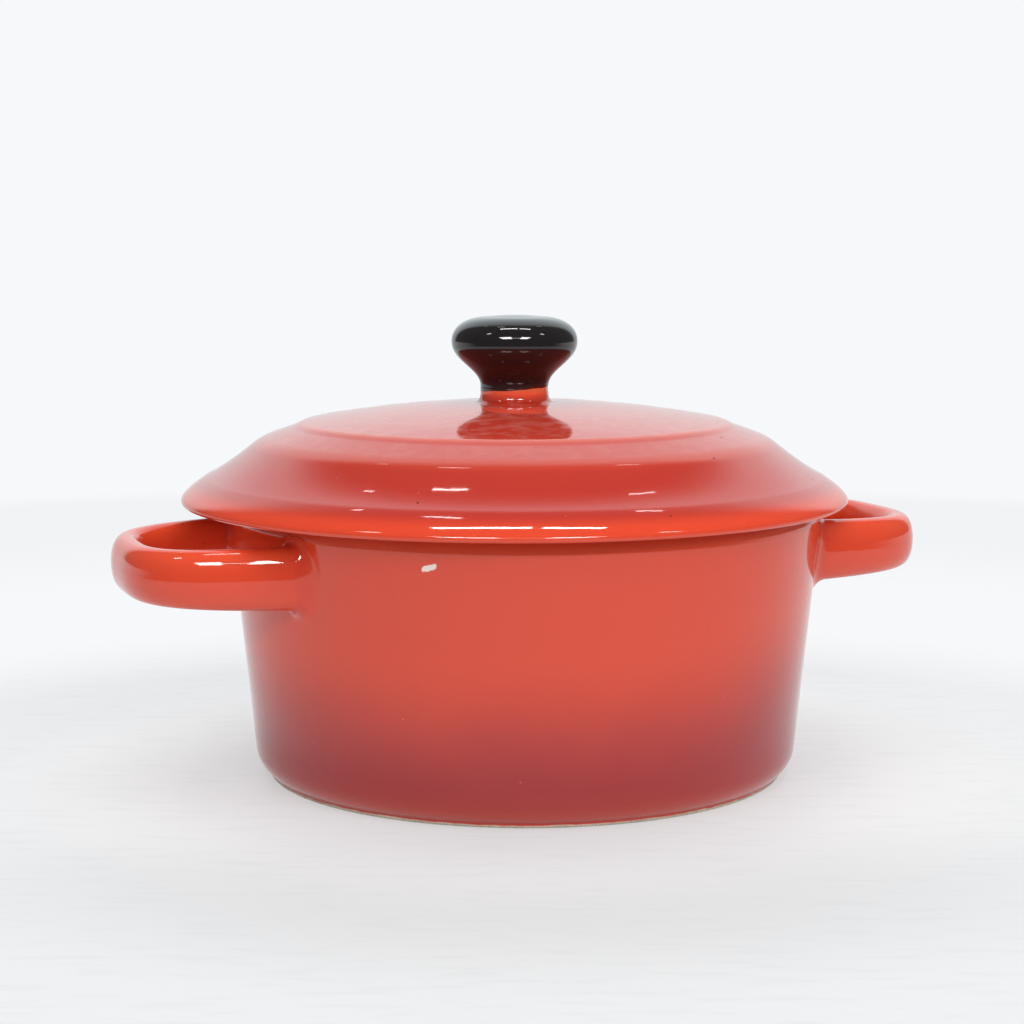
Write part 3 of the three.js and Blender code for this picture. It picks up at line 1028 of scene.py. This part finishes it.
class MakeBowl(Operator):
    """Make the glazed bowl with its bare foot ring"""

    bl_idname = "casserole.bowl"
    bl_label = "Bowl"

    def execute(self, context):
        sharp_edge, tide_full = 0.0003, 1.1
        settings = context.scene.casserole
        bowl = settings.bowl
        profile = bowl_profile(bowl)
        path = travel(profile)
        brim = path[profile[:, 1].argmax()]
        from_low_turn = round_steps(bowl.sides) - bowl.spray_turn
        tide = bowl.tide * smooth((1 - np.cos(from_low_turn)) / tide_full)
        marks = {
            "bend": bend_of(profile, BEND_REACH, sharp_edge)[:, None],
            "cream": smooth((path - brim - GLAZE_EDGE) / GLAZE_EDGE)[:, None],
            "tide": np.broadcast_to(tide, (len(profile), bowl.sides)),
        }
        material = bowl_material(bowl, settings.glaze)
        piece = wheel("glazed_bowl", profile, bowl.sides, (0.0, 0.0, 0.0), material, marks)
        seat_on(piece, "pot_body", "bowl")
        return {"FINISHED"}


class MakeHandles(Operator):
    """Make the two loop handles"""

    bl_idname = "casserole.handles"
    bl_label = "Handles"

    def execute(self, context):
        thin_share, pool_share, narrowness = 0.1, 0.8, 3
        settings = context.scene.casserole
        rings, root = handle_skin(settings.bowl, settings.handles)
        section = round_steps(settings.handles.sides)
        edge = thin_share * np.abs(np.sin(2 * section)) ** narrowness
        bend = edge * (1 - smooth(root)) - pool_share * root * (1 - root)
        material = handle_material(settings.glaze)
        for node, turn in (("right_handle", 1.0), ("left_handle", -1.0)):
            placed = rings * (turn, turn, 1.0)
            tips = placed[[0, -1]].mean(axis=1)
            piece = closed_skin("glazed_" + node, placed, tips, material, {"bend": bend})
            seat_on(piece, "pot_body", node)
        return {"FINISHED"}


def dip_line(knob, place, turn):
    """How far points lie above the black glaze's lower edge, in millimetres.

    The edge is a slanting plane across the stem plus a few waves round it.
    """
    x, y, height = place[..., 0], place[..., 1], place[..., 2]
    right = x * math.cos(turn) + y * math.sin(turn)
    round_stem = np.arctan2(y, x)
    wave = sum(share * np.sin(waves * round_stem + start) for waves, start, share in DIP_WAVES)
    return (height - knob.dip_height - knob.dip_slope * right - knob.dip_wave * wave) * MILLIMETRES


def bare_depth(knob, above):
    """How far the stem lies deeper where it has no black glaze, with a soft step at that glaze's edge.

    The heights above that edge and the width of the step are in millimetres.
    """
    soft = 0.25
    return knob.coat * (1 - smooth(above / soft + 0.5))


class MakeLid(Operator):
    """Make the stepped lid with the boss that carries the knob"""

    bl_idname = "casserole.lid"
    bl_label = "Lid"

    def execute(self, context):
        sharp_edge, edge_fade, bare_end, coat_fade = 0.001, 0.002, 0.0003, 0.0012
        # A height in millimetres that is well below the black glaze's edge
        off_stem = -1.0
        settings = context.scene.casserole
        lid, knob, seat = settings.lid, settings.knob, settings.bowl.height
        profile = lid_profile(lid, knob, seat)
        radius, height = profile.T
        path = travel(profile)
        lip = path[np.hypot(radius - lid.radius + lid.lip_width, height).argmin()]
        seat_edge = path[np.hypot(radius - lid.ring_outer, height).argmin()]
        inward = smooth((lid.radius - lid.shoulder_inset - radius) / edge_fade)
        ring = (np.abs(height + lid.ring_depth) < bare_end) & (radius > lid.boss_radius)
        stem = (radius < lid.boss_radius + lid.boss_fillet) & (path > lip)
        above = dip_line(knob, turned(profile, lid.sides) + (0.0, 0.0, seat), settings.stage.turn)
        above = np.where(stem[:, None], above, off_stem)
        marks = {
            "bend": (bend_of(profile, BEND_REACH, sharp_edge) * inward)[:, None],
            "cream": smooth((seat_edge - path) / GLAZE_EDGE + 0.5)[:, None],
            "bare": ring.astype(float)[:, None],
            "dip": above,
        }
        fade = stem * smooth((height + seat - knob.joint) / coat_fade + 1)
        draw = bare_depth(knob, above) * fade[:, None]
        shift = np.array([lid.axis, 0.0, seat])
        material = lid_material(lid, settings.glaze)
        piece = wheel("glazed_lid", profile, lid.sides, shift, material, marks, draw)
        seat_on(piece, "lid_body", "lid")
        return {"FINISHED"}


class MakeKnob(Operator):
    """Make the mushroom knob with its dipped black glaze"""

    bl_idname = "casserole.knob"
    bl_label = "Knob"

    def execute(self, context):
        settings = context.scene.casserole
        knob = settings.knob
        profile = knob_profile(knob)
        above = dip_line(knob, turned(profile, knob.sides), settings.stage.turn)
        draw = bare_depth(knob, above)
        shift = np.array([settings.lid.axis, 0.0, 0.0])
        material = knob_material(settings.glaze)
        piece = wheel("glazed_knob", profile, knob.sides, shift, material, {"dip": above}, draw)
        seat_on(piece, "lid_body", "knob")
        return {"FINISHED"}


# Stage

# Soft lamps: brightness setting, degrees to the right of the camera, elevation, width and height
SOFTBOXES = (
    ("strip", 10, 26, 2.2, 0.14),
    ("key", 37, 43, 0.9, 0.6),
    ("top", 0, 84, 1.0, 1.0),
    ("sheen", 180, 38, 2.8, 1.0),
)
SOFTBOX_DISTANCE = 1.3
SOFTBOX_TARGET = Vector((0.0, 0.0, 0.03))

# Ceiling tubes, in shares of the ceiling's height: right, back, spin in degrees, length and thickness
TUBES = (
    (-0.80, -0.42, 0, 0.20, 0.06),
    (0.90, -0.42, 0, 0.20, 0.06),
    (-0.107, -0.03, 0, 0.315, 0.06),
    (0.19, -0.03, 0, 0.21, 0.06),
    (-0.193, 0.222, -27, 0.117, 0.009),
    (0.36, 0.396, 35, 0.10, 0.005),
    (-0.423, 0.447, -40, 0.045, 0.005),
    (-0.47, -1.60, 0, 0.62, 0.65),
    (0.585, -1.60, 0, 0.50, 0.65),
    (0.09, -1.60, 0, 0.50, 0.06),
)

# White as a colour, the width of the camera's sensor in millimetres, and the nearest that it sees
WHITE = (1.0, 1.0, 1.0, 1.0)
SENSOR = 36.0
NEAREST = 0.01


def seen_share(tree):
    """1 for rays from the camera, a mirror or glass, and 0 for light that falls on things."""
    path = put(tree, "ShaderNodeLightPath").outputs
    seen = calc(tree, "MAXIMUM", path["Is Camera Ray"], path["Is Glossy Ray"])
    return calc(tree, "MAXIMUM", seen, path["Is Transmission Ray"])


def board_colour(tree, stage, level, distance):
    """Colour of a pale board with short flecks: painted lighter round the object, as light that thins its
    shadow, and with a painted shadow in front of it.
    """
    near, far = 0.055, 0.10
    front, front_depth, front_core, front_edge = 0.075, 2.0, 0.03, 0.11
    shadow_value, fleck = 0.80, 0.93
    # Painted light: the board is lighter close to the object, which thins its shadow.
    board = mixed(tree, step(tree, distance, near, far), rgba(stage.floor_near), rgba(stage.floor))
    # Painted shadow: a soft darker patch on the board in front of the object.
    shadow_patch = mapped(tree, level, Location=(0.0, front * front_depth, 0.0), Scale=(1.0, front_depth, 0.0))
    painted_shadow = step(tree, size_of(tree, shadow_patch), front_edge, front_core)
    board = mixed(tree, painted_shadow, board, dimmed(tree, board, shadow_value))
    grain = noise(tree, level, scale=420.0, detail=3.0, stretch=(0.2, 1.0, 1.0))
    grain = step(tree, grain, low=0.32, high=0.50)
    return mixed(tree, grain, dimmed(tree, board, fleck), board)


def floor_material(stage):
    """Pale board that fades into the backdrop's colour away from the object, and sooner so in a mirror."""
    ahead, fade_start, fade_end = 0.04, 0.09, 0.19
    mirror_start, mirror_end = 0.035, 0.085
    band_value = 0.95
    material, tree, shader, place = new_material("pale_floor")
    level = mapped(tree, place, Rotation=(0.0, 0.0, -stage.turn))
    distance = size_of(tree, place)
    tree.links.new(board_colour(tree, stage, level, distance), shader.inputs["Base Color"])
    shader.inputs["Roughness"].default_value = 0.6
    shader.inputs["Specular IOR Level"].default_value = 0.2
    band = [channel * band_value for channel in stage.backdrop]
    stops = [(0.2, stage.backdrop), (0.33, band), (0.39, band), (0.43, stage.backdrop)]
    glow = put(tree, "ShaderNodeEmission", {"Color": ramp(tree, distance, stops), "Strength": 1.0})
    away = size_of(tree, mapped(tree, level, Location=(0.0, ahead, 0.0)))
    lifted = calc(tree, "MAXIMUM", step(tree, away, fade_start, fade_end), stage.lift)
    mirror = put(tree, "ShaderNodeLightPath").outputs["Is Glossy Ray"]
    mirrored = times(tree, step(tree, distance, mirror_start, mirror_end), mirror)
    fade = calc(tree, "MAXIMUM", times(tree, lifted, seen_share(tree)), mirrored)
    output = next(node for node in tree.nodes if node.type == "OUTPUT_MATERIAL")
    tree.links.new(shown(tree, fade, shader, glow), output.inputs["Surface"])
    return material


def make_floor(stage):
    """Level disc: rings whose radius grows as the square of their number, round the object's foot."""
    rings, sides, reach, below = 23, 96, 6.0, 0.00008
    share = np.arange(1, rings + 1) / rings
    grid = turned(np.stack([reach * share**2, np.full(rings, -below)], axis=-1), sides)
    points = np.concatenate([grid.reshape(-1, 3), [[0.0, 0.0, -below]]])
    faces = [ring_faces(rings, sides)[:, ::-1], fan_faces(rings * sides, 0, sides)]
    floor = new_object("floor", points, faces, floor_material(stage), {})


def towards(stage, side, rise, far):
    """Point at an angle to the right of the camera, seen from the object, at an elevation and a distance."""
    angle = stage.turn - math.pi / 2 + side
    level = far * math.cos(rise)
    return Vector((level * math.cos(angle), level * math.sin(angle), far * math.sin(rise)))


def add_lamp(name, place, spin, width, height, brightness):
    """Rectangular lamp whose surface has a brightness, where white in the picture counts as 1."""
    lamp = bpy.data.lights.new(name, "AREA")
    lamp.shape = "RECTANGLE"
    lamp.size, lamp.size_y = width, height
    lamp.energy = brightness * math.pi * width * height
    made = bpy.data.objects.new(name, lamp)
    made.location = place
    made.rotation_euler = spin
    made.visible_camera = False
    bpy.context.scene.collection.objects.link(made)
    return made


def add_softbox(stage, name, side, rise, width, height):
    """Lamp that faces the object, from angles in degrees, and doesn't show in the gloss."""
    place = towards(stage, math.radians(side), math.radians(rise), SOFTBOX_DISTANCE)
    spin = (SOFTBOX_TARGET - place).to_track_quat("-Z", "Y").to_euler()
    made = add_lamp(name, place, spin, width, height, getattr(stage, name))
    made.visible_glossy = False


def add_tube(stage, right, back, spin, long, thick):
    """Ceiling tube seen only in the gloss, sized in shares of the ceiling's height and spun in degrees."""
    place = Vector((right, back, 1.0)) * stage.ceiling
    place.rotate(Euler((0.0, 0.0, stage.turn)))
    turn = (0.0, 0.0, stage.turn + math.radians(spin))
    made = add_lamp("tube", place, turn, long * stage.ceiling, thick * stage.ceiling, stage.tube)
    made.visible_diffuse = False


def room_material(stage):
    """Glow of a dim room with a bright opening, clear where the mesh isn't marked as solid."""
    material = bpy.data.materials.new("dim_room")
    tree = empty_tree(material)
    opening = mark(tree, "opening")
    inputs = {"Value": opening, "To Min": stage.hood, "To Max": stage.opening}
    strength = put(tree, "ShaderNodeMapRange", inputs).outputs["Result"]
    colour = mixed(tree, opening, WHITE, rgba(stage.cool))
    glow = put(tree, "ShaderNodeEmission", {"Color": colour, "Strength": strength})
    clear = put(tree, "ShaderNodeBsdfTransparent")
    put(tree, "ShaderNodeOutputMaterial", {"Surface": shown(tree, mark(tree, "solid"), clear, glow)})
    return material


def make_hood(stage):
    """Surroundings seen only in the gloss: a dim floor and dome, with a bright opening at the back.

    The dome is a sphere's upper half at equal steps of turn and rise, and the floor is a level ring inside it
    that fades out towards the back. The opening lies where the share of a direction that points back is more
    than a parabola of the share that points sideways, and it is dimmer low down.
    """
    floor_rings, dome_rings, sides = 8, 46, 180
    near, far, level, pole = 0.30, 3.4, 0.001, math.radians(89.9)
    floor_half, floor_fade = math.radians(105), 3
    edge, spread, soft = 0.34, 0.9, 0.28
    low_share, full_rise = 0.68, math.radians(22)
    rise = np.concatenate([np.zeros(floor_rings), np.linspace(0.0, pole, dome_rings)])[:, None]
    radius = far * np.cos(rise)
    radius[:floor_rings, 0] = np.linspace(near, far, floor_rings)
    off_back = round_steps(sides) - math.pi
    angle = stage.turn + math.pi / 2 + off_back
    height = np.broadcast_to(level + far * np.sin(rise), (len(rise), sides))
    grid = np.stack([radius * np.cos(angle), radius * np.sin(angle), height], axis=-1)
    floor = smooth((1 - (math.pi - np.abs(off_back)) / floor_half) * floor_fade)
    solid = np.where(np.arange(len(rise))[:, None] < floor_rings, floor, 1.0)
    back = np.cos(rise) * np.cos(off_back)
    aside = np.cos(rise) * np.sin(off_back)
    opening = smooth((back - edge - spread * aside**2) / soft + 0.5)
    opening = opening * (low_share + (1 - low_share) * smooth(rise / full_rise))
    marks = {"solid": solid.ravel(), "opening": opening.ravel()}
    faces = [ring_faces(len(rise), sides)]
    hood = new_object("hood", grid.reshape(-1, 3), faces, room_material(stage), marks)
    for rays in ("camera", "diffuse", "shadow", "transmission"):
        setattr(hood, "visible_" + rays, False)


def make_world(stage):
    """Soft light from all round, and the backdrop's colour where it is seen."""
    world = bpy.data.worlds.new("studio")
    tree = empty_tree(world)
    light = put(tree, "ShaderNodeBackground", {"Color": WHITE, "Strength": stage.sky})
    seen = put(tree, "ShaderNodeBackground", {"Color": rgba(stage.backdrop), "Strength": 1.0})
    put(tree, "ShaderNodeOutputWorld", {"Surface": shown(tree, seen_share(tree), light, seen)})
    bpy.context.scene.world = world


def make_camera(stage):
    """Camera at its place beside the axis, turned about Z and pitched down."""
    camera = bpy.data.cameras.new("camera")
    camera.lens = stage.lens
    camera.sensor_width = SENSOR
    camera.clip_start = NEAREST
    made = bpy.data.objects.new("camera", camera)
    made.location = Vector((-stage.aside, -stage.distance, stage.height))
    made.location.rotate(Euler((0.0, 0.0, stage.turn)))
    made.rotation_euler = Euler((math.pi / 2 - stage.pitch, 0.0, stage.turn))
    bpy.context.scene.collection.objects.link(made)
    bpy.context.scene.camera = made


class MakeStage(Operator):
    """Make the floor, the light and the camera"""

    bl_idname = "casserole.stage"
    bl_label = "Stage"

    def execute(self, context):
        stage = context.scene.casserole.stage
        make_floor(stage)
        make_world(stage)
        make_hood(stage)
        for softbox in SOFTBOXES:
            add_softbox(stage, *softbox)
        for tube in TUBES:
            add_tube(stage, *tube)
        make_camera(stage)
        context.scene.view_settings.view_transform = "Standard"
        return {"FINISHED"}


class CasserolePanel(Panel):
    """Lists what can be set and what can be made"""

    bl_idname = "VIEW3D_PT_casserole"
    bl_label = "Casserole"
    bl_space_type = "VIEW_3D"
    bl_region_type = "UI"
    bl_category = "Casserole"

    makers = {"bowl": MakeBowl, "handles": MakeHandles, "lid": MakeLid, "knob": MakeKnob, "stage": MakeStage}

    def draw(self, context):
        settings = context.scene.casserole
        for part in settings.__annotations__:
            box = self.layout.box()
            if part in self.makers:
                box.operator(self.makers[part].bl_idname)
            values = getattr(settings, part)
            for name in values.__annotations__:
                box.prop(values, name)


CLASSES = (
    BowlSizes,
    HandleSizes,
    LidSizes,
    KnobSizes,
    GlazeColours,
    StageSettings,
    Casserole,
    MakeBowl,
    MakeHandles,
    MakeLid,
    MakeKnob,
    MakeStage,
    CasserolePanel,
)


def register():
    for made in CLASSES:
        bpy.utils.register_class(made)
    bpy.types.Scene.casserole = PointerProperty(type=Casserole)


def unregister():
    del bpy.types.Scene.casserole
    for made in reversed(CLASSES):
        bpy.utils.unregister_class(made)


def main():
    register()
    bpy.ops.casserole.bowl()
    bpy.ops.casserole.handles()
    bpy.ops.casserole.lid()
    bpy.ops.casserole.knob()
    bpy.ops.casserole.stage()


if __name__ == "__main__":
    main()
